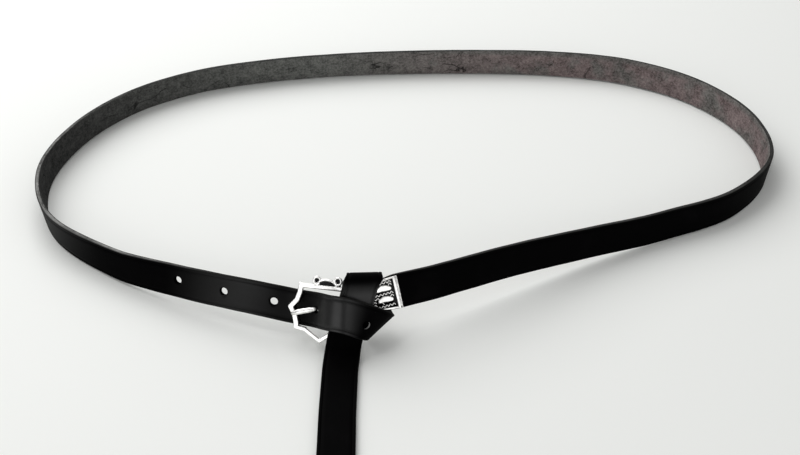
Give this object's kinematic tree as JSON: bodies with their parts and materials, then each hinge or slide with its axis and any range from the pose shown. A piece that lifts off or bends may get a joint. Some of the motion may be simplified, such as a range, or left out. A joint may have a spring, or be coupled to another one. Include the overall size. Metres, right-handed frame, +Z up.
{
  "type": "medieval belt",
  "caption": "Narrow black leather belt in a standing waist loop, with a cast silver-coloured open buckle and plate, its free end hitched round the belt and hanging forward.",
  "frame": {"origin": "middle of the bounding box in plan, on the surface that the belt rests on", "axes": "+Z up, +X along the loop's width towards the viewer's right, -Y towards the wearer's front, where the buckle is and the free end lies"},
  "size_m": [0.4014, 0.3592, 0.0332],
  "materials": {
    "black_leather": "black dyed leather, smooth satin grain side outside with a pressed line along both edges, rough dark grey flesh side inside",
    "cast_silver_metal": "silver-coloured cast metal, polished on the raised parts, blackened in the recesses"
  },
  "bodies": {
    "root": {"strap": "black_leather", "buckle_frame": "cast_silver_metal", "buckle_pin": "cast_silver_metal", "buckle_plate": "cast_silver_metal", "plate_rivet": "cast_silver_metal"}
  },
  "joints": []
}
